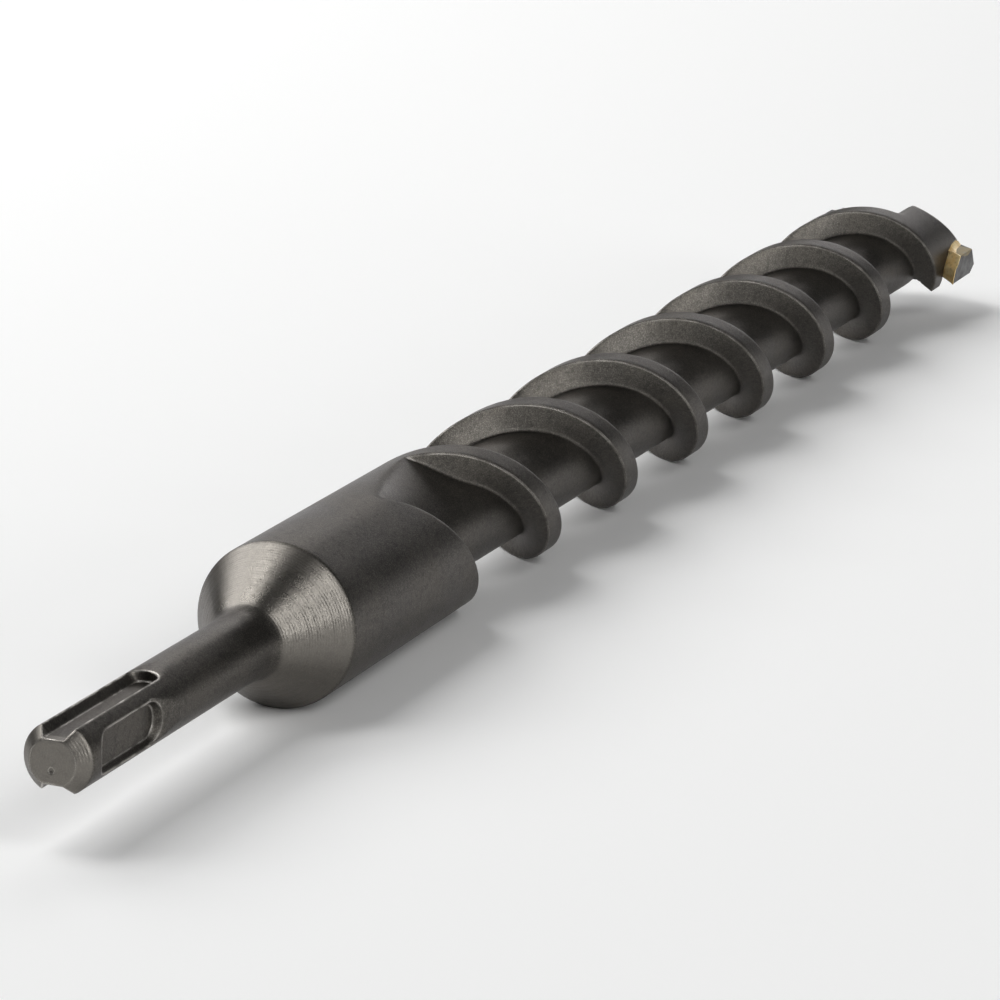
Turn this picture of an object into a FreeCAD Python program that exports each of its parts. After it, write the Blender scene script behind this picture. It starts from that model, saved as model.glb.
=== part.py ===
import FreeCAD, Part
import math
import os
import Sketcher

# Hammer drill bit with an SDS-plus shank, lying along +X: the centre of the shank's end face is the
# origin, the tip points to +X and +Z is up. Angles run round the axis from +Z towards -Y, the way a
# right-hand flute advances. Millimetres and degrees.
doc = FreeCAD.newDocument("drill_bit")
sheet = doc.addObject("Spreadsheet::Sheet", "P")

VALUES = [
    ("shank_radius", "5", "standard 10 mm shank"),
    ("end_chamfer", "1.65", "chamfer round the shank's end face"),
    ("neck_end", "57.6", "where the plain neck meets the cone"),
    ("cone_length", "10.7", "length of the cone"),
    ("body_radius", "12.2", "collar and flight lands"),
    ("cone_edge_length", "0.5", "softened edge between cone and collar, along the cone"),
    ("cone_edge_drop", "0.3", "the same, across it"),
    ("steel_end", "364", "front end of the steel blank"),
    ("lead", "68.08", "axial travel of one flute in a turn"),
    ("starts", "2", "number of flutes"),
    ("collar_to_wall", "54.99", "from the cone to the shank-facing wall of the first land at the angle zero"),
    ("land_width", "5.7", "axial width of a land at the outside"),
    ("land_foot", "7.3", "axial width of a land at the core"),
    ("core_tip_side", "7.6", "core radius at the foot of the sloped flank"),
    ("core_wall_side", "8.4", "core radius at the foot of the steep wall"),
    ("cut_clearance", "1", "how far cutting shapes pass the outside"),
    ("run_in_edge", "-13.1", "angle where the flute's end edge leaves the steep wall"),
    ("run_in_slope", "0.62", "turn of that edge in degrees for each millimetre away from the wall"),
    ("run_in_bend", "0.0125", "the same, for each square millimetre"),
    ("run_in_sweep", "46", "angle over which the flute sinks to its full depth"),
    ("run_in_full", "60", "angle where the whole flute has its full depth"),
    ("land_end_gap", "12.76", "from the end of a land's steep wall to the front end of the blank"),
    ("gash_sweep", "75", "angle in front of the tip that is open to the core"),
    ("lead_sweep", "14.5", "angle in front of the cutting face that is open above the land"),
    ("lobe_sweep", "14.4", "angle over which the back of a head lobe rises to the outside"),
    ("front_set", "4.4", "from the head's two front planes on the axis to the end of the blank"),
    ("front_fall", "1.192", "fall of a front plane for each millimetre away from the plate"),
    ("front_tilt", "0.467", "rise of a front plane for each millimetre along the plate"),
    ("plate_lag", "25.2", "angle from the tip plate's wide direction to the end of the land"),
    ("plate_thickness", "5.4", "tip plate thickness"),
    ("seat_depth", "13.2", "from the lower edge of the tip plate to the end of the blank"),
    ("plate_rim", "0.4", "height of the plate's narrow foot"),
    ("overhang_rise", "1.6", "height over which the plate widens to its full width"),
    ("plate_side", "11.7", "height of the plate's parallel sides"),
    ("plate_radius", "15", "half of the drilling diameter"),
    ("point_half_angle", "65", "half of the point angle"),
    ("edge_bevel_width", "1.6", "width of the blunt bevel in front of the cutting edge"),
    ("edge_bevel_drop", "1.9", "fall of that bevel"),
    ("relief_drop", "3.9", "fall of the relief behind the cutting edge"),
    ("braze_film", "0.1", "thickness of the braze under and beside the plate"),
    ("braze_layer", "1", "axial thickness of the braze under the overhang"),
    ("braze_drop", "1.1", "how far the braze reaches below the plate on the outside of the head"),
    ("wedge_rise", "2.2", "from the plate's lower edge to the foot of the braze wedge behind it"),
    ("wedge_foot", "0.5", "how far the wedge's foot reaches below that"),
    ("wedge_flat", "0.3", "height of the wedge's outer face below the front plane"),
    ("wedge_width", "1.9", "width of the wedge"),
    ("wedge_inset", "0.5", "from the core to the inner end of the wedge"),
    ("wedge_margin", "1", "from the outside of the head to the outer end of the wedge"),
    ("drive_angle", "2", "angle of the first open drive groove"),
    ("drive_depth", "1.95", "depth of the drive groove"),
    ("drive_floor_half", "1.43", "half width of its floor"),
    ("drive_flank", "35.6", "slope of its sides"),
    ("drive_length", "27.4", "length of its floor"),
    ("drive_runout", "2.7", "length of the shallow run-out behind it"),
    ("runout_depth", "0.45", "depth of a shallow run-out"),
    ("runout_overlap", "4", "how far a shallow run-out reaches back over its groove"),
    ("lock_depth", "1.95", "depth of the locking groove"),
    ("lock_floor_half", "2.35", "half width of its floor"),
    ("lock_flank", "34", "slope of its sides"),
    ("lock_start", "5.2", "start of its floor"),
    ("lock_length", "17.2", "length of its floor"),
    ("lock_runout", "4.8", "length of the shallow run-out behind it"),
]
for row, (alias, value, note) in enumerate(VALUES, start=1):
    sheet.set(f"A{row}", note)
    sheet.set(f"B{row}", value)
    sheet.setAlias(f"B{row}", alias)
doc.recompute()


def number(expression):
    """Value of an expression written with the sheet's names."""
    result = sheet.evalExpression(expression)
    return float(getattr(result, "Value", result))


def turned_plane(sketch, body, angle, offset="0"):
    """Put a sketch on a plane through the axis, turned by an angle and moved along its own normal."""
    for feature in body.Origin.OriginFeatures:
        if feature.Role == "XZ_Plane":
            sketch.AttachmentSupport = [(feature, "")]
    sketch.MapMode = "FlatFace"
    turn = FreeCAD.Rotation(FreeCAD.Vector(1, 0, 0), number(angle))
    sketch.AttachmentOffset = FreeCAD.Placement(FreeCAD.Vector(0, 0, 0), turn)
    sketch.setExpression("AttachmentOffset.Rotation.Angle", f"({angle}) * 1 deg")
    sketch.setExpression("AttachmentOffset.Base.y", f"-({offset}) * sin(({angle}) * 1 deg) * 1 mm")
    sketch.setExpression("AttachmentOffset.Base.z", f"({offset}) * cos(({angle}) * 1 deg) * 1 mm")


def polygon(body, name, corners, angle="0", offset="0"):
    """Closed outline; each corner is (distance along the axis, distance across), as expressions."""
    sketch = body.newObject("Sketcher::SketchObject", name)
    turned_plane(sketch, body, angle, offset)
    points = [FreeCAD.Vector(number(x), number(y), 0) for x, y in corners]
    total = len(points)
    for i, point in enumerate(points):
        sketch.addGeometry(Part.LineSegment(point, points[(i + 1) % total]))
    for i in range(total):
        sketch.addConstraint(Sketcher.Constraint("Coincident", i, 2, (i + 1) % total, 1))
    for i, (x, y) in enumerate(corners):
        for kind, text, value in (("DistanceX", x, points[i].x), ("DistanceY", y, points[i].y)):
            if abs(value) < 1e-9 and text == "0":
                line = -2 if kind == "DistanceX" else -1
                sketch.addConstraint(Sketcher.Constraint("PointOnObject", i, 1, line))
                continue
            index = sketch.addConstraint(Sketcher.Constraint(kind, -1, 1, i, 1, value))
            sketch.setExpression(f"Constraints[{index}]", f"({text}) * 1 mm")
    return sketch


def axis_of(body):
    for feature in body.Origin.OriginFeatures:
        if feature.Role == "X_Axis":
            return (feature, [""])
    raise RuntimeError("no X axis")


def pair(body, name, features):
    """Repeat features once for each start, evenly round the axis."""
    pattern = body.newObject("PartDesign::PolarPattern", name)
    pattern.Originals = features
    pattern.Axis = axis_of(body)
    pattern.Angle = 360
    body.Tip = pattern
    pattern.Occurrences = int(number("P.starts"))
    pattern.setExpression("Occurrences", "P.starts")
    return pattern


def loft(body, kind, name, sketches):
    feature = body.newObject(f"PartDesign::{kind}Loft", name)
    feature.Profile = sketches[0]
    feature.Sections = sketches[1:]
    feature.Ruled = True
    return feature


# Places along the axis that follow from the lengths above. The flight starts from the cone and ends at the
# head, which keeps its place before the end of the blank; the plate turns with the end of the lands.
CONE_END = "(P.neck_end + P.cone_length)"
WALL_AT_ZERO = f"({CONE_END} + P.collar_to_wall)"
FLUTE_END = f"((P.steel_end - P.land_end_gap - {WALL_AT_ZERO}) * 360 / P.lead)"
PLATE_ANGLE = f"({FLUTE_END} - P.plate_lag)"
PLATE_BOTTOM = "(P.steel_end - P.seat_depth)"
PLATE_STEP = f"({PLATE_BOTTOM} + P.plate_rim)"
PLATE_SHOULDER = f"({PLATE_STEP} + P.overhang_rise)"
PLATE_CORNER = f"({PLATE_SHOULDER} + P.plate_side)"

steel = doc.addObject("PartDesign::Body", "steel_body")
steel.Label = "steel_body"
profile = polygon(
    steel,
    "turned_outline",
    [
        ("0", "0"),
        ("0", "P.shank_radius - P.end_chamfer"),
        ("P.end_chamfer", "P.shank_radius"),
        ("P.neck_end", "P.shank_radius"),
        (f"{CONE_END} - P.cone_edge_length", "P.body_radius - P.cone_edge_drop"),
        (f"{CONE_END} + P.cone_edge_drop", "P.body_radius"),
        ("P.steel_end", "P.body_radius"),
        ("P.steel_end", "0"),
    ],
)
turned = steel.newObject("PartDesign::Revolution", "turned_blank")
turned.Profile = profile
turned.ReferenceAxis = (profile, ["H_Axis"])
turned.Angle = 360
doc.recompute()

# One flute. Its section is bounded by the steep wall of the next land, the sloped flank of the land
# below it and the core between them. The wall stands at wall_at_zero + lead * angle / 360.
OUT = "(P.body_radius + P.cut_clearance)"
PITCH = "(P.lead / P.starts)"
FLANK = "((P.land_foot - P.land_width) / (P.body_radius - P.core_tip_side))"
SPAN = f"({PITCH} - P.land_foot)"


def wall(angle):
    return f"({WALL_AT_ZERO} + P.lead * ({angle}) / 360)"


def flank(angle, radius):
    return f"({wall(angle)} - {PITCH} + P.land_width + {FLANK} * (P.body_radius - {radius}))"


flute_outline = [
    (flank("P.run_in_full", "P.core_tip_side"), "P.core_tip_side"),
    (wall("P.run_in_full"), "P.core_wall_side"),
    (wall("P.run_in_full"), OUT),
    (flank("P.run_in_full", OUT), OUT),
]
flute_sketch = polygon(steel, "flute_outline", flute_outline, "P.run_in_full")
flute = steel.newObject("PartDesign::SubtractiveHelix", "flute")
flute.Profile = flute_sketch
flute.ReferenceAxis = (flute_sketch, ["H_Axis"])
flute.Mode = "pitch-turns-angle"
flute.Pitch = number("P.lead")
flute.setExpression("Pitch", "P.lead * 1 mm")
flute.Turns = number(f"({FLUTE_END} - P.run_in_full) / 360")
flute.setExpression("Turns", f"({FLUTE_END} - P.run_in_full) / 360")
flute.LeftHanded = False
flute.Reversed = False
doc.recompute()


def run_in_radius(angle, part_way):
    """Floor radius of the flute's run-in; part_way goes from the steep wall, 0, to the sloped flank, 1."""
    below = f"({SPAN} * {part_way})"
    edge = f"(P.run_in_edge + P.run_in_slope * {below} + P.run_in_bend * {below} * {below})"
    turn = f"min(1; ({angle} - {edge}) / P.run_in_sweep)"
    depth = f"({turn} < 0 ? 2 * {turn} : {turn} * (2 - {turn}))"
    full = f"(P.core_wall_side + (P.core_tip_side - P.core_wall_side) * {part_way})"
    return f"min({OUT} - P.cut_clearance / 2; P.body_radius - (P.body_radius - {full}) * {depth})"


# The flute's run-in: its floor sinks from the outside of the collar to full depth, first beside the wall.
run_in_steps = 9
floor_steps = 4
run_in = []
for i in range(run_in_steps + 1):
    angle = f"(P.run_in_edge - 2 + (P.run_in_full - P.run_in_edge + 2) * {i} / {run_in_steps})"
    foot = run_in_radius(angle, 1)
    corners = [(flank(angle, foot), foot)]
    for k in range(floor_steps - 1, -1, -1):
        part_way = k / floor_steps
        corners.append((f"({wall(angle)} - {SPAN} * {part_way})", run_in_radius(angle, part_way)))
    corners.append((wall(angle), OUT))
    corners.append((flank(angle, OUT), OUT))
    run_in.append(polygon(steel, f"run_in_{i}", corners, angle))
entry = loft(steel, "Subtractive", "flute_run_in", run_in)
doc.recompute()

# In front of the tip's cutting face the flute opens to the front, then a lobe rises to the outside.
FRONT = "(P.steel_end + P.cut_clearance)"
BEYOND = f"({OUT} + P.cut_clearance)"


def open_section(angle, rise=0):
    """Section that is open to the front, its floor raised by a share of the full depth."""
    above = "(P.body_radius + P.cut_clearance / 3)"
    low = f"(P.core_tip_side + ({above} - P.core_tip_side) * {rise})"
    high = f"(P.core_wall_side + ({above} - P.core_wall_side) * {rise})"
    return [
        (flank(angle, low), low),
        ("P.steel_end", high),
        (FRONT, high),
        (FRONT, BEYOND),
        (flank(angle, BEYOND), BEYOND),
    ]


gash = []
open_steps = 4
lobe_steps = 2
for i in range(open_steps + 1):
    angle = f"({FLUTE_END} + P.gash_sweep * {i / open_steps})"
    gash.append(polygon(steel, f"gash_{i}", open_section(angle), angle))
for i in range(1, lobe_steps + 1):
    rise = i / lobe_steps
    angle = f"({FLUTE_END} + P.gash_sweep + P.lobe_sweep * {rise})"
    gash.append(polygon(steel, f"lobe_back_{i}", open_section(angle, rise), angle))
opening = loft(steel, "Subtractive", "tip_gash", gash)
doc.recompute()

# Beside the cutting face only the end of the land stands; above it the head is open to the core.
lead_open = []
lead_steps = 2
for i in range(lead_steps + 1):
    angle = f"({FLUTE_END} + 180 - P.lead_sweep * {1 - i / lead_steps})"
    lead_open.append(polygon(steel, f"lead_open_{i}", open_section(angle), angle))
lead = loft(steel, "Subtractive", "lead_gash", lead_open)
doc.recompute()
both = pair(steel, "both_flutes", [flute, entry, opening, lead])
doc.recompute()

# Directions in the head: the plate runs along one line through the axis; its back faces the angle below.
ACROSS = f"({PLATE_ANGLE} - 90)"
HALF = "(P.plate_thickness / 2)"


def swept(body, kind, name, corners, angle, start, end):
    """Solid between two copies of an outline, both square to the plate's wide direction.

    A corner is (distance along the axis, its change from start to end, distance towards the back).
    The end is the side of the first cutting corner.
    """
    sketches = []
    for i, (place, shift) in enumerate(((start, "0"), (end, "1"))):
        outline = [(f"({x}) + ({change}) * {shift}", y) for x, change, y in corners]
        sketches.append(polygon(body, f"{name}_{i}", outline, angle, place))
    return loft(body, kind, name, sketches)


# The front of the head is two planes that fall away from the plate, one behind each cutting edge.
reach = "(P.body_radius + 2 * P.cut_clearance)"
core_reach = "P.core_wall_side"
past_end = "(P.steel_end + 2 * P.cut_clearance)"


def front(across, along):
    return f"(P.steel_end - P.front_set - P.front_fall * ({across}) + P.front_tilt * ({along}))"


rise_along = f"P.front_tilt * ({core_reach} + {reach})"
front_cut = swept(
    steel,
    "Subtractive",
    "front_plane",
    [
        (front("0", f"-{core_reach}"), rise_along, "0"),
        (front(reach, f"-{core_reach}"), rise_along, reach),
        (past_end, rise_along, reach),
        (past_end, rise_along, "0"),
    ],
    ACROSS,
    f"-({core_reach})",
    reach,
)
doc.recompute()

# The slot for the plate, with the wedge-shaped relief behind each end that the braze fills.
slot_half = f"({HALF} + P.braze_film)"
slot = steel.newObject("PartDesign::Pocket", "plate_slot")
slot.Profile = polygon(
    steel,
    "slot_outline",
    [
        (f"{PLATE_BOTTOM} - P.braze_film", f"-{slot_half}"),
        (f"{PLATE_BOTTOM} - P.braze_film", slot_half),
        (past_end, slot_half),
        (past_end, f"-{slot_half}"),
    ],
    ACROSS,
)
slot.Midplane = True
slot.Length = number(f"2 * {reach}")
slot.setExpression("Length", f"2 * {reach} * 1 mm")
doc.recompute()
wedge_in = "(P.core_tip_side + P.wedge_inset)"
wedge_out = "(P.body_radius - P.wedge_margin)"
wedge_low = f"({PLATE_BOTTOM} + P.wedge_rise)"
wedge_side = f"({slot_half} + P.wedge_width)"
wedge_top = front(wedge_side, wedge_in)
wedge_corners = [
    (wedge_low, "0", slot_half),
    (f"{wedge_top} - P.wedge_flat", "0", wedge_side),
    (past_end, "0", wedge_side),
    (past_end, "0", slot_half),
]
wedge_cut = swept(steel, "Subtractive", "wedge_relief", wedge_corners, ACROSS, wedge_in, reach)
doc.recompute()
head_pair = pair(steel, "both_head_sides", [front_cut, wedge_cut])
doc.recompute()


def tapered_groove(name, floor, half, flank_slope, start, end, closed, angle):
    """Groove with sloped sides; its floor is a strip that ends in a half round."""
    sketch = steel.newObject("Sketcher::SketchObject", f"{name}_floor")
    turned_plane(sketch, steel, f"({angle} - 90)", f"({floor})")
    radius = number(half)
    x0 = number(start)
    x1 = number(end)
    top = Part.LineSegment(FreeCAD.Vector(x0, radius, 0), FreeCAD.Vector(x1 - radius, radius, 0))
    low = Part.LineSegment(FreeCAD.Vector(x1 - radius, -radius, 0), FreeCAD.Vector(x0, -radius, 0))
    round_end = Part.ArcOfCircle(
        Part.Circle(FreeCAD.Vector(x1 - radius, 0, 0), FreeCAD.Vector(0, 0, 1), radius),
        -math.pi / 2,
        math.pi / 2,
    )
    sketch.addGeometry(top)
    sketch.addGeometry(round_end)
    sketch.addGeometry(low)
    sketch.addConstraint(Sketcher.Constraint("Tangent", 0, 2, 1, 2))
    sketch.addConstraint(Sketcher.Constraint("Tangent", 1, 1, 2, 1))
    if closed:
        back_round = Part.ArcOfCircle(
            Part.Circle(FreeCAD.Vector(x0, 0, 0), FreeCAD.Vector(0, 0, 1), radius),
            math.pi / 2,
            math.pi * 3 / 2,
        )
        sketch.addGeometry(back_round)
        sketch.addConstraint(Sketcher.Constraint("Tangent", 0, 1, 3, 1))
        sketch.addConstraint(Sketcher.Constraint("Tangent", 2, 2, 3, 2))
    else:
        sketch.addGeometry(Part.LineSegment(FreeCAD.Vector(x0, -radius, 0), FreeCAD.Vector(x0, radius, 0)))
        sketch.addConstraint(Sketcher.Constraint("Coincident", 2, 2, 3, 1))
        sketch.addConstraint(Sketcher.Constraint("Coincident", 3, 2, 0, 1))
        sketch.addConstraint(Sketcher.Constraint("Vertical", 3))
    sketch.addConstraint(Sketcher.Constraint("PointOnObject", 1, 3, -1))
    sketch.addConstraint(Sketcher.Constraint("Horizontal", 0))
    index = sketch.addConstraint(Sketcher.Constraint("Radius", 1, radius))
    sketch.setExpression(f"Constraints[{index}]", f"({half}) * 1 mm")
    index = sketch.addConstraint(Sketcher.Constraint("DistanceX", -1, 1, 1, 3, x1 - radius))
    sketch.setExpression(f"Constraints[{index}]", f"(({end}) - ({half})) * 1 mm")
    index = sketch.addConstraint(Sketcher.Constraint("DistanceX", -1, 1, 0, 1, x0))
    sketch.setExpression(f"Constraints[{index}]", f"({start}) * 1 mm")
    groove = steel.newObject("PartDesign::Pocket", name)
    groove.Profile = sketch
    groove.Length = number(f"P.shank_radius - {floor} + P.cut_clearance")
    groove.setExpression("Length", f"(P.shank_radius - ({floor}) + P.cut_clearance) * 1 mm")
    groove.Reversed = True
    groove.TaperAngle = number(flank_slope)
    groove.setExpression("TaperAngle", f"({flank_slope}) * 1 deg")
    return groove


DRIVE_FLOOR = "(P.shank_radius - P.drive_depth)"
LOCK_FLOOR = "(P.shank_radius - P.lock_depth)"
RUNOUT_FLOOR = "(P.shank_radius - P.runout_depth)"
LOCK_END = "(P.lock_start + P.lock_length)"
GROOVES = [
    ("drive_groove", DRIVE_FLOOR, "P.drive_floor_half", "P.drive_flank",
     "-P.cut_clearance", "P.drive_length", False, "P.drive_angle"),
    ("drive_runout", RUNOUT_FLOOR, "P.drive_floor_half", "P.drive_flank",
     "P.drive_length - P.runout_overlap", "P.drive_length + P.drive_runout", True, "P.drive_angle"),
    ("lock_groove", LOCK_FLOOR, "P.lock_floor_half", "P.lock_flank",
     "P.lock_start + P.lock_floor_half", LOCK_END, True, "P.drive_angle + 90"),
    ("lock_runout", RUNOUT_FLOOR, "P.lock_floor_half", "P.lock_flank",
     f"{LOCK_END} - P.runout_overlap", f"{LOCK_END} + P.lock_runout", True, "P.drive_angle + 90"),
]
grooves = []
for values in GROOVES:
    grooves.append(tapered_groove(*values))
    doc.recompute()
pair(steel, "both_shank_sides", grooves)
doc.recompute()

# The tip: a flat hard-metal plate with a roof-shaped front and blunt bevels in front of its edges.
plate = doc.addObject("PartDesign::Body", "carbide_tip")
plate.Label = "carbide_tip"
ROOF = "(P.plate_radius / tan(P.point_half_angle * 1 deg))"
APEX = f"({PLATE_CORNER} + {ROOF})"
foot = "(P.body_radius - P.braze_film)"
half_outline = [
    (PLATE_BOTTOM, foot),
    (PLATE_STEP, foot),
    (PLATE_SHOULDER, "P.plate_radius"),
    (PLATE_CORNER, "P.plate_radius"),
]
outline = half_outline + [(APEX, "0")] + [(x, f"-({y})") for x, y in reversed(half_outline)]
blank = plate.newObject("PartDesign::Pad", "plate_blank")
blank.Profile = polygon(plate, "plate_outline", outline, PLATE_ANGLE)
blank.Midplane = True
blank.Length = number("P.plate_thickness")
blank.setExpression("Length", "P.plate_thickness * 1 mm")
doc.recompute()
past = "(P.plate_radius + P.cut_clearance)"
slope = "(1 / tan(P.point_half_angle * 1 deg))"
edge_low = f"({PLATE_CORNER} - {slope} * P.cut_clearance)"
over_tip = f"({APEX} + P.cut_clearance)"
edge_rise = f"({slope} * {past})"
relief = swept(
    plate,
    "Subtractive",
    "relief",
    [
        (f"{edge_low} - P.edge_bevel_drop", edge_rise, f"-{HALF}"),
        (edge_low, edge_rise, f"-{HALF} + P.edge_bevel_width"),
        (f"{edge_low} - P.relief_drop", edge_rise, HALF),
        (over_tip, edge_rise, HALF),
        (over_tip, edge_rise, f"-{HALF}"),
    ],
    ACROSS,
    past,
    "0",
)
doc.recompute()
pair(plate, "both_edges", [relief])
doc.recompute()

# The braze: a film round the plate's foot, a layer under each overhang and a wedge behind each end.
braze = doc.addObject("PartDesign::Body", "braze")
braze.Label = "braze"
film = braze.newObject("PartDesign::Pad", "film")
film.Profile = polygon(
    braze,
    "film_outline",
    [
        (f"{PLATE_BOTTOM} - P.braze_film", f"-{slot_half}"),
        (f"{PLATE_BOTTOM} - P.braze_film", slot_half),
        (wedge_low, slot_half),
        (wedge_low, HALF),
        (PLATE_BOTTOM, HALF),
        (PLATE_BOTTOM, f"-{HALF}"),
        (wedge_low, f"-{HALF}"),
        (wedge_low, f"-{slot_half}"),
    ],
    ACROSS,
)
film.Midplane = True
film.Length = number(f"2 * {foot}")
film.setExpression("Length", f"2 * {foot} * 1 mm")
doc.recompute()
layer = braze.newObject("PartDesign::Pad", "overhang_layer")
layer.Profile = polygon(
    braze,
    "layer_outline",
    [
        (f"{PLATE_BOTTOM} - P.braze_film", foot),
        (PLATE_STEP, foot),
        (PLATE_SHOULDER, "P.plate_radius"),
        (f"{PLATE_SHOULDER} - P.braze_layer", "P.plate_radius"),
        (f"{PLATE_BOTTOM} - P.braze_drop", "P.body_radius"),
        (f"{PLATE_BOTTOM} - P.braze_film", "P.body_radius"),
    ],
    PLATE_ANGLE,
)
layer.Midplane = True
layer.Length = number(f"2 * {slot_half}")
layer.setExpression("Length", f"2 * {slot_half} * 1 mm")
doc.recompute()
wedge_lean = f"P.front_tilt * ({wedge_out} - {wedge_in})"
wedge_fill = [
    (f"{wedge_low} - P.wedge_foot", "0", HALF),
    (wedge_low, "0", slot_half),
    (f"{wedge_top} - P.wedge_flat", "0", wedge_side),
    (wedge_top, wedge_lean, wedge_side),
    (front(HALF, wedge_in), wedge_lean, HALF),
]
wedge = swept(braze, "Additive", "wedge", wedge_fill, ACROSS, wedge_in, wedge_out)
doc.recompute()
pair(braze, "both_ends", [layer, wedge])
doc.recompute()

for body in (steel, plate, braze):
    for feature in body.Group:
        if "Invalid" in feature.State or "Error" in feature.State:
            raise RuntimeError(f"{feature.Name} did not build")
    if body.Shape.isNull() or not body.Shape.isValid() or len(body.Shape.Solids) != 1:
        raise RuntimeError(f"{body.Name} is not one valid solid")
os.makedirs("parts", exist_ok=True)
for body in (steel, plate, braze):
    body.Shape.exportStep(f"parts/{body.Name}.step")
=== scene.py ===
import bmesh
import bpy
import math
from mathutils import Matrix, Vector


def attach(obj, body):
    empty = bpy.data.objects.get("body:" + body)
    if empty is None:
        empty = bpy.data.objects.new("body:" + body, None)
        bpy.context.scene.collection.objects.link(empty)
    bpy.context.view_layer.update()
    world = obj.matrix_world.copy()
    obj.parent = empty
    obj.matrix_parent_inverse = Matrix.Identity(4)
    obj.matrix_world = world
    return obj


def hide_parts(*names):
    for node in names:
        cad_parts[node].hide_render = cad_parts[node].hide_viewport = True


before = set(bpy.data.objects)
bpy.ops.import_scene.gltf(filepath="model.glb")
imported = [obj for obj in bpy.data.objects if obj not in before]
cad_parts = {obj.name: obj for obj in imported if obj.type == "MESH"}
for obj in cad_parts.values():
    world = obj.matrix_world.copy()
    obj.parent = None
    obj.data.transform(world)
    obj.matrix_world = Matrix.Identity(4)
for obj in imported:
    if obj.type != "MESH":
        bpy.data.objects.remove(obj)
bpy.context.scene.view_settings.view_transform = "Standard"
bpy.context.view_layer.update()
MM = 0.001

# Lengths are in millimetres along X from the shank's end face, angles in degrees round X from +Z to -Y.

# Shank, neck, cone and collar
SHANK_R = 5.0
FACE_R = 3.3
CHAMFER_FOOT_R = 3.46
CHAMFER = 1.65
EDGE_ROUND = 0.12
SHANK_FROM = CHAMFER + 0.2
NECK_END = 57.6
FLARE_BEFORE = 2.2
FLARE_AFTER = 1.0
CONE_END = 68.3
CONE_STEPS = 60
# Rounded edge between cone and collar, as steps (x, r) from their sharp corner
CONE_EDGE = ((-0.25, -0.2), (-0.05, -0.07), (0.2, -0.01), (0.5, 0.0))
BODY_R = 12.2
COLLAR_JOIN = 88.0

# Grooves of the shank: angle, depth of the flat floor from the axis, half its width, slope of the side
# walls, start, end, share by which the round ends lean with the slope, and whether the start is closed
DRIVE_GROOVE = (2, 3.05, 1.43, 35.6, -1, 27.5, 0.05, False)
LOCK_GROOVE = (92, 3.05, 2.35, 34, 5.0, 22.7, 0.7, True)
# Rise of the floor at a groove's end: start, depth from the axis there, end
DRIVE_RISE = (25.9, 4.36, 30.1)
LOCK_RISE = (20.3, 3.79, 27.5)
GROOVE_TOP = 7.0
RISE_TOP = 7.5
RISE_HALF = 4.5
RISE_PAST = 1.5

# Dimple of the end face
DIMPLE_Y = 0.21
DIMPLE_Z = -1.13
DIMPLE_R = 0.62
DIMPLE_DEPTH = 0.32
DIMPLE_OUT = 0.1

# Flight: each land has a steep wall on the shank's side and falls on its far side to the core
LEAD = 68.08
PITCH = LEAD / 2
WALL_ZERO = 123.29
RIM = 0.22
ROOT = 0.6
LAND_STATIONS = (1.6, 3.0, 4.4)
LAND_FLAT_END = 5.3
FALL_ROUND_STEP = 0.12
FALL_ROUND_DROP = 0.014
FALL_SHARES = ((6.1, 0.27), (6.5, 0.52), (6.85, 0.75), (7.1, 0.885), (7.4, 0.965), (7.8, 0.99), (8.4, 1.0))
FALL_END = 8.4
ROOT_ZONE = 1.4
FOOT = 7.3
CORE_LOW = 7.6
CORE_HIGH = 8.4

# Run-in of a flute on the collar: the angle of its edge over the distance from the next wall, and its length
RUN_IN_EDGE = -13.1
RUN_IN_LEAN = 0.62
RUN_IN_CURVE = 0.0125
RUN_IN_TURN = 46.0

# Run-out of a flute at the head, as turns past the angle at which its wall ends
FLUTE_END = 1205.4
GASH = 75.0
LOBE_BACK = 14.4
LEAD_GASH = 14.5
END_ZONE = FOOT + 1.2

# Grid of the flight's surface
GRID_FIRST = -372
GRID_LAST = 1302
GRID_STEP = 2.5
GRID_END = 368.0
CAP_FROM = 365.3
CAP_R = 8.0
RIM_GROWTH = 4
WELD_SCALE = 5e6

# Front planes of the head's lobes: x on the axis, fall towards the back and tilt along the plate
FRONT_APEX = 359.6
FRONT_FALL = 1.192
FRONT_TILT = 0.467
FRONT_REACH = 8.6
BEYOND_X = 380
BEYOND_R = 16

# Hard-metal plate
PLATE_ANGLE = 100.2
PLATE_HALF = 2.7
PLATE_R = 15.0
PLATE_INNER_R = 12.0
PLATE_FOOT = 355.3
PLATE_CORNER = 364.5
PLATE_EDGE = -1.1
PLATE_HEEL = 350.95
HEEL_RISE = 352.75
HEEL_FLAT = 0.3
RELIEF = 3.9 / 3.8
FACE_BEVEL = 1.9 / 1.6
POINT_SLOPE = 1 / math.tan(math.radians(65))
PLATE_SOFT = 0.2

# Braze: film round the plate, fillet under its outer end and wedge behind it
FILM = 0.1
SLOT_HALF = PLATE_HALF + FILM
SLOT_OVERLAP = 0.01
SEAT_FROM = 354.5
# Border of the seat in the steel as (x, n), which the braze's border on the head follows
SEAT_BORDER = ((352.8, -0.8), (353.1, 0.4), (353.7, 1.25), (354.4, 1.9), (355.2, SLOT_HALF))
WEDGE_SEAT = ((355.2, SLOT_HALF - 0.2), (356.9, 3.4), (359.3, 3.65), (364.3, 3.5), (364.3, SLOT_HALF - 0.2))
WEDGE_SEAT_FROM = 8.1
WEDGE_SEAT_TO = 14.2
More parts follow.
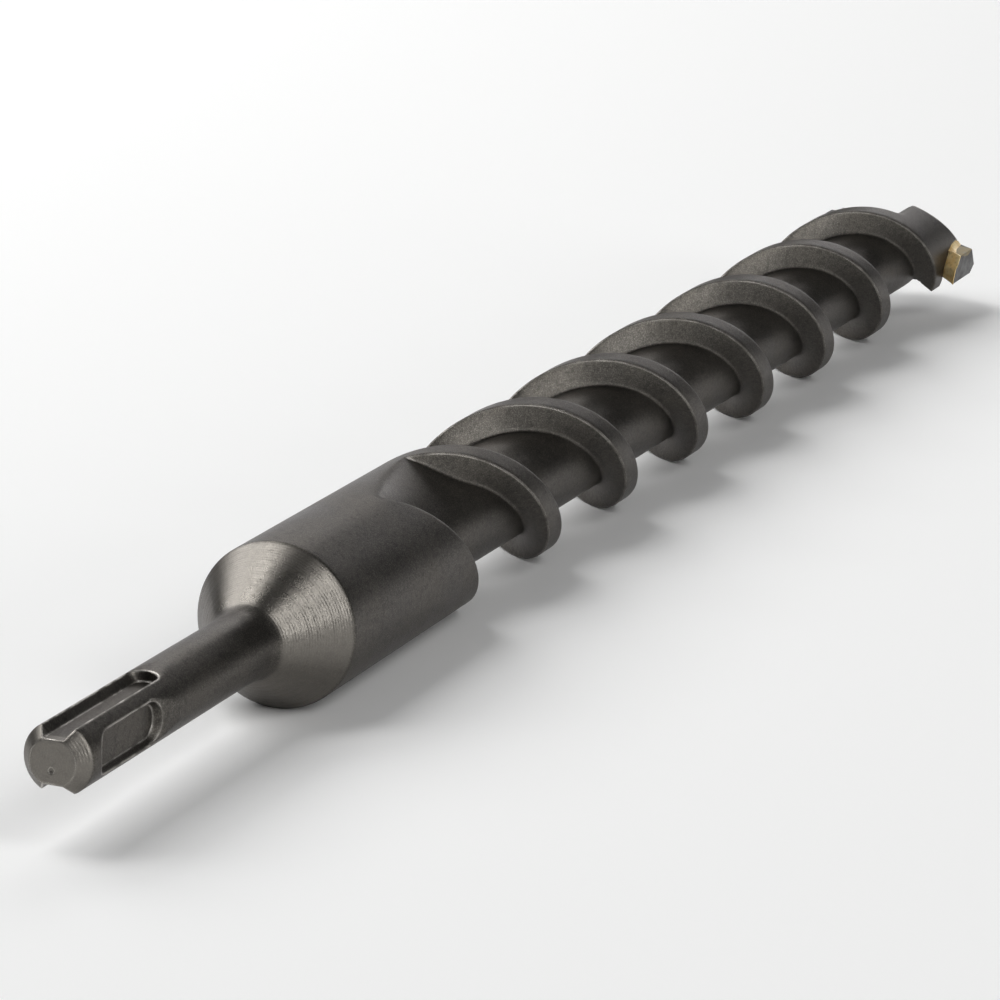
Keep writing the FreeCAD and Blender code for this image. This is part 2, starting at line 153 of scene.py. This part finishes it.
# Rows across the plate: n, start on the head (x) and end at the plate's outer edge (x)
FILLET_ROWS = (
    (-2.74, 354.6, 351.1), (-2.4, 354.2, 350.78), (-1.9, 353.7, 350.72), (-1.4, 353.2, 350.74),
    (-0.8, 352.7, 350.72), (-0.2, 352.8, 350.76), (0.3, 353.0, 350.78), (0.7, 353.15, 351.3),
    (1.1, 353.45, 351.7), (1.6, 353.95, 351.95), (2.1, 354.4, 352.2), (2.5, 354.75, 352.4),
    (2.74, 355.0, 352.6))
# Rows along X behind the plate: x, border on the head (w, n) and border on the plate's back face (w)
WEDGE_ROWS = (
    (354.4, 11.9, 2.7, 13.6), (355.1, 11.87, 2.85, 13.4), (356.0, 11.78, 3.2, 13.1),
    (356.8, 11.69, 3.5, 12.9), (358.0, 11.64, 3.68, 12.7), (359.3, 11.6, 3.78, 12.6),
    (360.4, 11.66, 3.6, 12.5), (361.5, 11.75, 3.45, 12.4))
WEDGE_SUNK_W = 9.0

# Camera and stage
FOCAL_PIXELS = 4723.69
PICTURE_PIXELS = 1000
SENSOR = 36
EYE = Vector((-0.510656, -0.267132, 0.182652))
EYE_RIGHT = Vector((0.3736, -0.9276, -0.00029))
EYE_UP = Vector((0.2321, 0.09323, 0.96822))
FLOOR_HALF = 3
MIDDLE = Vector((0.18, 0, 0))
LAMP_DISTANCE = 1.3
# Lamps: name, azimuth round Z from +X and height above the floor in degrees, width in metres, radiance
LAMPS = (
    ("left", 65, 36, 0.7, 3.7), ("left_near", 108, 38, 0.7, 2.9), ("left_top", 97, 66, 0.5, 6.0),
    ("right_high", 250, 42, 0.6, 3.8), ("right_low", 252, 13, 0.45, 5.5), ("far_left", 20, 36, 0.5, 2.6),
    ("far_low", 0, 13, 0.5, 1.8), ("far_side", 36, 13, 0.5, 1.0), ("front", 205, 26, 0.4, 2.2))


def round_point(x, r, angle):
    """Point in metres from its place along the axis, its radius and its angle."""
    a = math.radians(angle)
    return (x * MM, -r * math.sin(a) * MM, r * math.cos(a) * MM)


def across_point(x, depth, across, angle):
    """Point in metres on a flat at a depth from the axis, with the flat's middle line at the angle."""
    a = math.radians(angle)
    y = -depth * math.sin(a) - across * math.cos(a)
    z = depth * math.cos(a) - across * math.sin(a)
    return (x * MM, y * MM, z * MM)


def head_point(x, w, n):
    """Point of the head in metres; w runs along the plate's width and n towards the plate's back."""
    a = math.radians(PLATE_ANGLE)
    b = math.radians(PLATE_ANGLE - 90)
    y = -w * math.sin(a) - n * math.sin(b)
    z = w * math.cos(a) + n * math.cos(b)
    return (x * MM, y * MM, z * MM)


def smooth(t):
    t = min(1.0, max(0.0, t))
    return t * t * (3 - 2 * t)


def build(name, verts, faces):
    mesh = bpy.data.meshes.new(name)
    mesh.from_pydata([tuple(v) for v in verts], [], faces)
    mesh.validate()
    obj = bpy.data.objects.new(name, mesh)
    bpy.context.scene.collection.objects.link(obj)
    return obj


def outward(obj):
    """Turns the faces of a closed mesh outward."""
    work = bmesh.new()
    work.from_mesh(obj.data)
    bmesh.ops.recalc_face_normals(work, faces=work.faces)
    if work.calc_volume(signed=True) < 0:
        bmesh.ops.reverse_faces(work, faces=work.faces)
    work.to_mesh(obj.data)
    work.free()


def loft(name, solids):
    """One object of solids, each made of rings of points with a flat face on its first and last ring."""
    verts = []
    faces = []
    for rings in solids:
        base = len(verts)
        total = len(rings[0])
        for ring in rings:
            verts += ring
        last = base + total * (len(rings) - 1)
        faces.append([base + i for i in range(total)])
        faces.append([last + i for i in range(total)])
        for k in range(len(rings) - 1):
            for i in range(total):
                a = base + total * k + i
                b = base + total * k + (i + 1) % total
                faces.append([a, b, b + total, a + total])
    obj = build(name, verts, faces)
    outward(obj)
    return obj


def cell_profile():
    """Rows of one pitch: distance from the steep wall, kind, and share of depth or loss of radius."""
    rows = [(0.0, "wall", i / 4) for i in range(4)]
    for i in range(5):
        a = math.radians(90 * i / 4)
        rows.append((RIM * (1 - math.cos(a)), "rim", RIM * (1 - math.sin(a))))
    rows += [(s, "rim", 0.0) for s in LAND_STATIONS]
    rows += [(LAND_FLAT_END + FALL_ROUND_STEP * i, "rim", FALL_ROUND_DROP * i * i) for i in range(5)]
    rows += [(s, "floor", share) for s, share in FALL_SHARES]
    rows += [(FALL_END + (PITCH - FALL_END - ROOT_ZONE) * i / 11, "floor", 1.0) for i in range(1, 12)]
    rows += [(PITCH - ROOT_ZONE + (ROOT_ZONE - ROOT) * i / 3, "floor", 1.0) for i in range(1, 3)]
    rows += [(PITCH - ROOT * (1 - i / 5), "floor", 1.0) for i in range(5)]
    return rows


def opened(angle, below):
    """Share of a flute's full depth at an angle and at a distance from the next wall."""
    lobe = FLUTE_END + GASH
    if angle > FLUTE_END + 180 - LEAD_GASH - 1:
        return 1.0
    if angle > lobe:
        return 1 - smooth((angle - lobe) / LOBE_BACK)
    edge = RUN_IN_EDGE + RUN_IN_LEAN * below + RUN_IN_CURVE * below * below
    t = min(1.0, max(0.0, (angle - edge) / RUN_IN_TURN))
    return 1 - (1 - t) ** 2


def cell_radius(phi, row, ended):
    """Radius of a row of the profile at the angle phi of its steep wall."""
    s, kind, value = row
    own = opened(phi, 0.0)
    if ended and s < END_ZONE:
        return CORE_HIGH - (CORE_HIGH - CORE_LOW) * smooth(s / FOOT)
    if kind == "wall":
        foot = BODY_R - (BODY_R - CORE_HIGH + ROOT) * own + ROOT * own
        return foot + (BODY_R - RIM * min(1.0, own * RIM_GROWTH) - foot) * value
    if kind == "rim":
        soft = own if s < 1 else opened(phi + 180, PITCH - s)
        return BODY_R - value * min(1.0, soft * RIM_GROWTH)
    below = PITCH - s
    floor = CORE_LOW + (CORE_HIGH - ROOT - CORE_LOW) * (s - FOOT) / (PITCH - FOOT)
    if below < ROOT:
        t = 1 - below / ROOT
        floor += ROOT * (1 - math.sqrt(max(0.0, 1 - t * t)))
    return BODY_R - (BODY_R - floor) * value * opened(phi + 180, below)


def flight_quads():
    """Faces of the flight from the collar to past the head, with corners as (x, r, angle)."""
    rows = cell_profile()
    first = -int((FLUTE_END - GRID_FIRST) / GRID_STEP)
    last = int((GRID_LAST - FLUTE_END + 180) / GRID_STEP)
    columns = [(FLUTE_END + GRID_STEP * j, j > 0) for j in range(first, last + 1)]
    columns.insert(1 - first, (FLUTE_END, True))
    quads = []
    for turn in (0, 180):
        grid = []
        for phi, ended in columns:
            x = WALL_ZERO + LEAD * phi / 360
            line = [(x + row[0], cell_radius(phi, row, ended)) for row in rows]
            line.append((x + PITCH, cell_radius(phi + 180, rows[0], phi + 180 > FLUTE_END + 1e-6)))
            grid.append([(min(GRID_END, max(COLLAR_JOIN, s)), CAP_R if s > CAP_FROM else r, phi + turn)
                         for s, r in line])
        for a, b in zip(grid, grid[1:]):
            for i in range(len(rows)):
                corners = (a[i], a[i + 1], b[i + 1], b[i])
                if max(c[0] for c in corners) > COLLAR_JOIN and min(c[0] for c in corners) < GRID_END:
                    quads.append(corners)
    return quads


def turned_outline():
    """Points (x, r) from the border of the end face to the collar's joint with the flight."""
    bevel = CHAMFER - 2 * EDGE_ROUND
    outline = [(0.0, FACE_R), (EDGE_ROUND / 3, 3.36), (EDGE_ROUND, CHAMFER_FOOT_R)]
    outline += [(EDGE_ROUND + bevel * i / 6, CHAMFER_FOOT_R + bevel * i / 6) for i in range(1, 7)]
    outline.append((CHAMFER + 0.02, SHANK_R - 0.03))
    flare_from = NECK_END - FLARE_BEFORE
    outline += [(SHANK_FROM + (flare_from - SHANK_FROM) * i / 40, SHANK_R) for i in range(41)]
    rise = (BODY_R - SHANK_R) / (CONE_END - NECK_END)
    for i in range(1, 9):
        t = i / 8
        outline.append((flare_from + (FLARE_BEFORE + FLARE_AFTER) * t, SHANK_R + rise * FLARE_AFTER * t * t))
    foot = outline[-1]
    edge = [(CONE_END + x, BODY_R + r) for x, r in CONE_EDGE]
    top = edge[0]
    for i in range(1, CONE_STEPS):
        t = i / CONE_STEPS
        ripple = 0.018 * math.sin(i * 2.1) + 0.012 * math.sin(i * 0.9 + 1)
        outline.append((foot[0] + (top[0] - foot[0]) * t, foot[1] + (top[1] - foot[1]) * t + ripple))
    outline += edge
    collar_from = edge[-1][0]
    outline += [(collar_from + (COLLAR_JOIN - collar_from) * i / 12, BODY_R) for i in range(1, 13)]
    return outline


def turned_quads():
    """Faces of the shank, cone and collar and of the two flat ends, with corners as (x, r, angle)."""
    outline = turned_outline()
    turns = [FLUTE_END + GRID_STEP * j for j in range(int(360 / GRID_STEP) + 1)]
    quads = []
    for a, b in zip(turns, turns[1:]):
        for (x0, r0), (x1, r1) in zip(outline, outline[1:]):
            quads.append(((x0, r0, a), (x1, r1, a), (x1, r1, b), (x0, r0, b)))
        quads.append(((0.0, 0.0, 0.0), (0.0, FACE_R, a), (0.0, FACE_R, b)))
        quads.append(((GRID_END, CAP_R, a), (GRID_END, 0.0, 0.0), (GRID_END, CAP_R, b)))
    return quads


def welded(name, quads):
    """Closed mesh of the faces, with equal points joined and collapsed corners left out."""
    index = {}
    verts = []
    faces = []
    for corners in quads:
        face = []
        for corner in corners:
            point = round_point(*corner)
            key = tuple(round(value * WELD_SCALE) for value in point)
            if key not in index:
                index[key] = len(verts)
                verts.append(point)
            if index[key] not in face:
                face.append(index[key])
        if len(face) > 2:
            faces.append(face)
    obj = build(name, verts, faces)
    outward(obj)
    return obj


def front(n, w):
    """Place along X of a lobe's front plane."""
    return FRONT_APEX - FRONT_FALL * n + FRONT_TILT * w


def prism(name, outline, start, end, side):
    """Solid between two w stations; outline corners are (x, change of x from start to end, n)."""
    rings = [[head_point(x + change * share, w * side, n * side) for x, change, n in outline]
             for w, share in ((start, 0), (end, 1))]
    return loft(name, [rings])


def head_cutters(side):
    """What the front, the plate's slot and the wedge of braze take from one lobe."""
    low = -FRONT_REACH
    rise = FRONT_TILT * (FRONT_REACH + BEYOND_R)
    plane = [(front(0, low), rise, 0), (front(BEYOND_R, low), rise, BEYOND_R), (BEYOND_X, 0, BEYOND_R),
             (BEYOND_X, 0, 0)]
    seat = [(SEAT_FROM, -SLOT_HALF), *SEAT_BORDER, (BEYOND_X, SLOT_HALF), (BEYOND_X, -SLOT_HALF)]
    return [prism("front_cut", plane, low, BEYOND_R, side),
            prism("seat_cut", [(x, 0, n) for x, n in seat], -SLOT_OVERLAP, BEYOND_R, side),
            prism("groove_cut", [(x, 0, n) for x, n in WEDGE_SEAT], WEDGE_SEAT_FROM, WEDGE_SEAT_TO, side)]


def half_round(middle, radius, first):
    """Half circle of (x, across) points that starts at the angle first."""
    angles = [math.radians(first + 180 * i / 16) for i in range(17)]
    return [(middle + radius * math.cos(a), radius * math.sin(a)) for a in angles]


def groove_cutter(name, turn, groove):
    """Groove that widens outward from a flat floor, with half-round ends."""
    angle, floor, half, slope, start, end, lean, closed = groove
    rings = []
    for depth in (floor, GROOVE_TOP):
        grow = (depth - floor) * math.tan(math.radians(slope))
        ring = half_round(end - half - grow * (1 - lean), half + grow, -90)
        if closed:
            ring += half_round(start + half + grow * (1 - lean), half + grow, 90)
        else:
            ring += [(start, half + grow), (start, -half - grow)]
        rings.append([across_point(x, depth, across, angle + turn) for x, across in ring])
    return loft(name, [rings])


def rise_cutter(name, turn, groove, rise):
    """Takes away all above a plane that rises along X from a depth in the shank to its surface."""
    start, depth, end = rise
    slope = (SHANK_R - depth) / (end - start)
    past = end + RISE_PAST
    outline = [(start, depth), (past, SHANK_R + RISE_PAST * slope), (past, RISE_TOP), (start, RISE_TOP)]
    rings = [[across_point(x, level, across, groove[0] + turn) for x, level in outline]
             for across in (-RISE_HALF, RISE_HALF)]
    return loft(name, [rings])


def dimple_cutter():
    """Cone that stands a little out of the end face and points inward."""
    angles = [i * math.pi / 8 for i in range(16)]
    ring = [(DIMPLE_R * math.cos(a), DIMPLE_R * math.sin(a)) for a in angles]
    verts = [(-DIMPLE_OUT, DIMPLE_Y + y, DIMPLE_Z + z) for y, z in ring]
    verts.append((DIMPLE_DEPTH, DIMPLE_Y, DIMPLE_Z))
    faces = [list(range(16))] + [[i, (i + 1) % 16, 16] for i in range(16)]
    obj = build("dimple_cut", [Vector(v) * MM for v in verts], faces)
    outward(obj)
    return obj


def cut(obj, cutters):
    for cutter in cutters:
        change = obj.modifiers.new("cut", "BOOLEAN")
        change.operation = "DIFFERENCE"
        change.solver = "EXACT"
        change.object = cutter
        graph = bpy.context.evaluated_depsgraph_get()
        mesh = bpy.data.meshes.new_from_object(obj.evaluated_get(graph))
        obj.modifiers.clear()
        obj.data = mesh
        bpy.data.objects.remove(cutter)


def shade(obj, sharp):
    """Smooth shading with sharp edges above an angle."""
    obj.data.set_sharp_from_angle(angle=math.radians(sharp))
    for poly in obj.data.polygons:
        poly.use_smooth = True


steel = welded("steel_bit", flight_quads() + turned_quads())
cutters = head_cutters(1) + head_cutters(-1)
for turn in (0, 180):
    cutters.append(groove_cutter("drive", turn, DRIVE_GROOVE))
    cutters.append(rise_cutter("drive_out", turn, DRIVE_GROOVE, DRIVE_RISE))
    cutters.append(groove_cutter("lock", turn, LOCK_GROOVE))
    cutters.append(rise_cutter("lock_out", turn, LOCK_GROOVE, LOCK_RISE))
cutters.append(dimple_cutter())
cut(steel, cutters)
shade(steel, 32)
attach(steel, "root")
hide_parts("steel_body")


def tip_mesh():
    """Plate with cut heels and a roof of two relief planes and two bevels."""
    rings = []
    for n, near_heel, far_heel in ((-PLATE_HALF, PLATE_HEEL, HEEL_RISE), (-HEEL_FLAT, PLATE_HEEL, PLATE_HEEL),
                                   (HEEL_FLAT, PLATE_HEEL, PLATE_HEEL), (PLATE_HALF, HEEL_RISE, PLATE_HEEL)):
        outline = [(PLATE_FOOT, -PLATE_INNER_R), (PLATE_FOOT, PLATE_INNER_R), (near_heel, PLATE_R),
                   (BEYOND_X, PLATE_R), (BEYOND_X, -PLATE_R), (far_heel, -PLATE_R)]
        rings.append([head_point(x, w, n) for x, w in outline])
    obj = loft("hard_tip", [rings])
    work = bmesh.new()
    work.from_mesh(obj.data)
    for side in (1, -1):
        corner = Vector(head_point(PLATE_CORNER, PLATE_R * side, PLATE_EDGE * side))
        for slope in (RELIEF, -FACE_BEVEL):
            normal = Vector(head_point(1, POINT_SLOPE * side, slope * side)).normalized()
            bmesh.ops.bisect_plane(work, geom=work.verts[:] + work.edges[:] + work.faces[:], dist=1e-7,
                                   plane_co=corner, plane_no=normal, clear_outer=True)
            bmesh.ops.holes_fill(work, edges=[e for e in work.edges if e.is_boundary])
    bmesh.ops.recalc_face_normals(work, faces=work.faces)
    work.to_mesh(obj.data)
    work.free()
    return obj


tip = tip_mesh()
soft = tip.modifiers.new("edges", "BEVEL")
soft.width = PLATE_SOFT * MM
soft.segments = 2
soft.limit_method = "ANGLE"
soft.angle_limit = math.radians(15)
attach(tip, "root")
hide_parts("carbide_tip")


def lump(i, j, seed):
    """Unevenness of flowed braze, from -1 to 1."""
    return math.sin(i * 2.3 + seed) * math.cos(j * 1.7 + 2 * seed)


def fillet_rings(side):
    """Braze that fills the corner between the head's round and the plate's overhanging end."""
    rings = []
    for k, (n, start, end) in enumerate(FILLET_ROWS):
        r = math.sqrt(BODY_R ** 2 - n * n)
        ring = [(start + 0.7, r - 0.6), (start, r + 0.03)]
        for i in range(1, 7):
            t = i / 7
            swell = 0.07 * lump(i, k, side) + 0.10 * math.sin(math.pi * t)
            ring.append((start + (end - start) * t + swell, r + (PLATE_R - r) * t))
        ring += [(end - 0.05, PLATE_R - 0.02), (end + 0.1, PLATE_R + 0.05), (end + 0.45, PLATE_R - 0.1),
                 (end + 1.4, PLATE_R - 1.2), (start + 1.6, r - 0.6)]
        rings.append([head_point(x, w * side, n * side) for x, w in ring])
    return rings


def wedge_rings(side):
    """Braze behind the plate, from the head's surface up the plate's back face."""
    rings = []
    near = PLATE_HALF - 0.05
    for k, (x, w, n, climb) in enumerate(WEDGE_ROWS):
        under = 0.06 if k == len(WEDGE_ROWS) - 1 else 0.1
        swell = 0.05 * lump(k, 1, side) - 0.08
        ring = [(w - 0.8, n - 0.1), (w + 0.04, n), (w * 0.75 + climb * 0.25 - 0.03, n * 0.7 + near * 0.3),
                (w * 0.45 + climb * 0.55 + swell, n * 0.4 + near * 0.6), (climb - 0.15, near + 0.16),
                (climb + 0.05, near), (WEDGE_SUNK_W, near), (WEDGE_SUNK_W, n - 0.1)]
        rings.append([head_point(min(x, front(back, across) - under), across * side, back * side)
                      for across, back in ring])
    return rings


braze = loft("braze_seam", [fillet_rings(1), wedge_rings(1), fillet_rings(-1), wedge_rings(-1)])
shade(braze, 48)
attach(braze, "root")
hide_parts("braze")


class Look:
    """A material built node by node around one Principled shader."""

    def __init__(self, name, metallic, colour=(0.1, 0.1, 0.1), roughness=0.5):
        self.mat = bpy.data.materials.new(name)
        self.mat.use_nodes = True
        self.tree = self.mat.node_tree
        self.shader = self.tree.nodes["Principled BSDF"]
        self.shader.inputs["Metallic"].default_value = metallic
        self.shader.inputs["Base Color"].default_value = (*colour, 1)
        self.shader.inputs["Roughness"].default_value = roughness

    def add(self, kind, values=None, **settings):
        node = self.tree.nodes.new(kind)
        for key, value in settings.items():
            setattr(node, key, value)
        for key, value in (values or {}).items():
            self.put(node.inputs[key], value)
        return node

    def put(self, socket, value):
        if isinstance(value, bpy.types.NodeSocket):
            self.tree.links.new(value, socket)
        else:
            socket.default_value = value

    def surface(self, colour, roughness, normal):
        self.put(self.shader.inputs["Base Color"], colour)
        self.put(self.shader.inputs["Roughness"], roughness)
        self.put(self.shader.inputs["Normal"], normal)

    def spot(self):
        return self.add("ShaderNodeTexCoord").outputs["Object"]

    def math(self, operation, a, b=0.0):
        return self.add("ShaderNodeMath", {0: a, 1: b}, operation=operation).outputs[0]

    def times(self, a, b):
        return self.math("MULTIPLY", a, b)

    def noise(self, spot, scale, detail=2.0, roughness=0.5):
        return self.add("ShaderNodeTexNoise", {"Vector": spot, "Scale": scale, "Detail": detail,
                                               "Roughness": roughness}).outputs["Fac"]

    def ramp(self, value, low, high, to_low=0.0, to_high=1.0):
        """Smooth change from to_low to to_high while the value goes from low to high."""
        limits = {"Value": value, "From Min": low, "From Max": high, "To Min": to_low, "To Max": to_high}
        return self.add("ShaderNodeMapRange", limits, interpolation_type="SMOOTHSTEP").outputs[0]

    def mix(self, share, a, b):
        node = self.add("ShaderNodeMix", data_type="RGBA")
        self.put(node.inputs[0], share)
        self.put(node.inputs[6], a if isinstance(a, bpy.types.NodeSocket) else (*a, 1))
        self.put(node.inputs[7], b if isinstance(b, bpy.types.NodeSocket) else (*b, 1))
        return node.outputs[2]

    def along(self, spot, axis):
        return self.add("ShaderNodeVectorMath", {0: spot, 1: axis}, operation="DOT_PRODUCT").outputs["Value"]

    def bump(self, height, strength, distance, normal=None):
        values = {"Height": height, "Strength": strength, "Distance": distance}
        if normal is not None:
            values["Normal"] = normal
        return self.add("ShaderNodeBump", values).outputs["Normal"]

    def edge(self, radius, low, high):
        """Normal rounded over the edges, and a share that grows where it leaves the surface's own."""
        rounded = self.add("ShaderNodeBevel", {"Radius": radius}, samples=6).outputs["Normal"]
        own = self.add("ShaderNodeNewGeometry").outputs["Normal"]
        return rounded, self.ramp(self.along(rounded, own), high, low)


def steel_look():
    """Dark blasted steel with lathe rings on the cone and the end face, painted shade darkening its recesses,
    and light edges that are partly bare metal and partly painted highlight.
    """
    dark = (0.074, 0.069, 0.062)
    light = (0.100, 0.092, 0.081)
    machined = (0.200, 0.187, 0.168)
    glint = (0.245, 0.228, 0.200)
    pit = (0.036, 0.034, 0.0315)
    # Colour of the painted shade in grooves, roots and corners
    painted_recess_shade = (0.028, 0.0265, 0.024)
    # Light colour of the edges: partly bare worn metal, partly painted highlight
    bare_and_highlight = (0.66, 0.63, 0.585)
    ring_pitch = 0.62 * MM
    look = Look("dark_steel", 0.9)
    spot = look.spot()
    x = look.along(spot, (1, 0, 0))
    crosswise = look.add("ShaderNodeVectorMath", {0: spot, 1: (0, 1, 1)}, operation="MULTIPLY").outputs[0]
    r = look.add("ShaderNodeVectorMath", {0: crosswise}, operation="LENGTH").outputs["Value"]
    grain = look.noise(spot, 5200, 2, 0.6)
    coarse = look.noise(spot, 1200, 3, 0.6)
    patch = look.noise(spot, 90, 4, 0.6)
    rounded, edge = look.edge(0.6 * MM, 0.87, 0.975)

    cone = look.times(look.ramp(x, (NECK_END - 0.1) * MM, (NECK_END + 1.4) * MM),
                      look.ramp(x, (CONE_END + 0.1) * MM, (CONE_END - 0.5) * MM))
    end_face = look.ramp(x, (CHAMFER + 0.1) * MM, (CHAMFER - 0.15) * MM)
    turned = look.math("MAXIMUM", cone, end_face)
    waver = look.times(look.noise(spot, 260, 2), 5.0)
    phase = look.times(look.math("ADD", x, r), 2 * math.pi / ring_pitch)
    rings = look.math("SINE", look.math("ADD", phase, waver))
    depth = look.times(turned, look.ramp(coarse, 0.35, 0.65, 0.2, 1.0))

    base = look.mix(look.ramp(patch, 0.35, 0.7), dark, light)
    base = look.mix(look.times(turned, 0.75), base, machined)
    base = look.mix(look.ramp(grain, 0.42, 0.72, 0, 0.55), base, glint)
    pitted = look.times(look.ramp(coarse, 0.48, 0.68, 0, 0.4), look.ramp(turned, 0, 1, 1, 0.3))
    base = look.mix(pitted, base, pit)
    # Painted shade: the colour turns darker where ambient occlusion finds grooves, roots and corners, where
    # shade falls.
    open_share = look.add("ShaderNodeAmbientOcclusion", {"Distance": 6 * MM}, samples=8,
                          only_local=True).outputs["AO"]
    base = look.mix(look.ramp(open_share, 0.35, 0.95, 0.3, 0), base, painted_recess_shade)
    # Light edges, partly worn bare metal and partly a painted highlight along the rims and roots.
    wear_and_painted_highlight = look.times(edge, look.ramp(look.noise(spot, 320, 3), 0.38, 0.58, 0.25, 1))
    base = look.mix(wear_and_painted_highlight, base, bare_and_highlight)

    rough = look.math("SUBTRACT", look.ramp(patch, 0.3, 0.7, 0.33, 0.41),
                      look.times(look.math("ADD", wear_and_painted_highlight, turned), 0.07))
    normal = look.bump(look.times(rings, depth), 0.4, 0.02 * MM, rounded)
    look.surface(base, rough, look.bump(grain, 0.5, 0.07 * MM, normal))
    look.shader.inputs["Specular Tint"].default_value = (0.72, 0.71, 0.72, 1)
    return look.mat


def tip_look():
    """Dark grey hard metal with a film of braze over the back of its outer ends."""
    dark = (0.024, 0.023, 0.024)
    light = (0.038, 0.035, 0.035)
    fleck = (0.10, 0.095, 0.09)
    dark_film = (0.13, 0.105, 0.045)
    light_film = (0.24, 0.18, 0.075)
    film_bend = 358 * MM
    look = Look("hard_metal", 0.8)
    spot = look.spot()
    a = math.radians(PLATE_ANGLE)
    x = look.along(spot, (1, 0, 0))
    w = look.along(spot, (0, -math.sin(a), math.cos(a)))
    n = look.along(spot, (0, math.cos(a), math.sin(a)))
    behind = look.times(look.math("SIGN", w), n)
    patch = look.noise(spot, 450, 3)
    speck = look.noise(spot, 2500, 3)

    bend = look.math("MAXIMUM", look.times(look.math("SUBTRACT", film_bend, x), 0.16),
                     look.times(look.math("SUBTRACT", x, film_bend), 0.32))
    border = look.math("ADD", bend, look.times(look.math("SUBTRACT", patch, 0.5), 0.5 * MM))
    film = look.ramp(look.math("SUBTRACT", behind, border), 1.65 * MM, 1.95 * MM)
    film = look.times(film, look.ramp(look.math("ABSOLUTE", w), 10 * MM, 11.2 * MM))
    film = look.times(film, look.ramp(x, 361.2 * MM, 360 * MM))

    base = look.mix(look.ramp(patch, 0.3, 0.7), dark, light)
    base = look.mix(look.ramp(speck, 0.4, 0.7, 0, 0.4), base, fleck)
    olive = look.mix(look.ramp(patch, 0.35, 0.65), dark_film, light_film)
    look.surface(look.mix(film, base, olive), look.ramp(patch, 0.3, 0.7, 0.36, 0.5),
                 look.bump(speck, 0.3, 0.04 * MM))
    return look.mat


def braze_look():
    """Uneven golden filler metal with brown specks."""
    dark = (0.88, 0.60, 0.24)
    light = (0.97, 0.76, 0.40)
    brown = (0.42, 0.27, 0.12)
    look = Look("braze_metal", 0.25)
    spot = look.spot()
    patch = look.noise(spot, 420, 3)
    fine = look.noise(spot, 1500, 3)
    base = look.mix(look.ramp(patch, 0.35, 0.65), dark, light)
    base = look.mix(look.ramp(fine, 0.5, 0.75, 0, 0.5), base, brown)
    look.surface(base, look.ramp(fine, 0.3, 0.7, 0.3, 0.5), look.bump(patch, 0.5, 0.25 * MM))
    return look.mat


for piece, mat in ((steel, steel_look()), (tip, tip_look()), (braze, braze_look())):
    piece.data.materials.clear()
    piece.data.materials.append(mat)

# Floor under the collar and the flight
floor_z = -BODY_R * MM
floor_corners = [(x * FLOOR_HALF, y * FLOOR_HALF, floor_z) for x, y in ((-1, -1), (1, -1), (1, 1), (-1, 1))]
floor = build("floor", floor_corners, [[0, 1, 2, 3]])
floor.data.materials.append(Look("floor", 0.0, (0.93, 0.93, 0.925), 0.9).mat)

# Camera
camera = bpy.data.cameras.new("camera")
camera.sensor_width = SENSOR
camera.lens = FOCAL_PIXELS / PICTURE_PIXELS * SENSOR
eye = bpy.data.objects.new("camera", camera)
bpy.context.scene.collection.objects.link(eye)
right = EYE_RIGHT.normalized()
up = EYE_UP.normalized()
axes = Matrix((right, up, right.cross(up))).transposed()
eye.matrix_world = Matrix.Translation(EYE) @ axes.to_4x4()
bpy.context.scene.camera = eye


def softbox(name, azimuth, height, size, radiance):
    """Square lamp that faces the middle of the bit."""
    a = math.radians(azimuth)
    b = math.radians(height)
    way = Vector((math.cos(b) * math.cos(a), math.cos(b) * math.sin(a), math.sin(b)))
    light = bpy.data.lights.new(name, "AREA")
    light.size = size
    light.energy = radiance * math.pi * size * size
    obj = bpy.data.objects.new(name, light)
    obj.location = MIDDLE + way * LAMP_DISTANCE
    obj.rotation_mode = "QUATERNION"
    obj.rotation_quaternion = way.to_track_quat("Z", "Y")
    bpy.context.scene.collection.objects.link(obj)


for lamp in LAMPS:
    softbox(*lamp)
world = bpy.data.worlds.new("world")
bpy.context.scene.world = world
world.use_nodes = True
world.node_tree.nodes["Background"].inputs["Color"].default_value = (0.95, 0.98, 1, 1)
world.node_tree.nodes["Background"].inputs["Strength"].default_value = 0.05
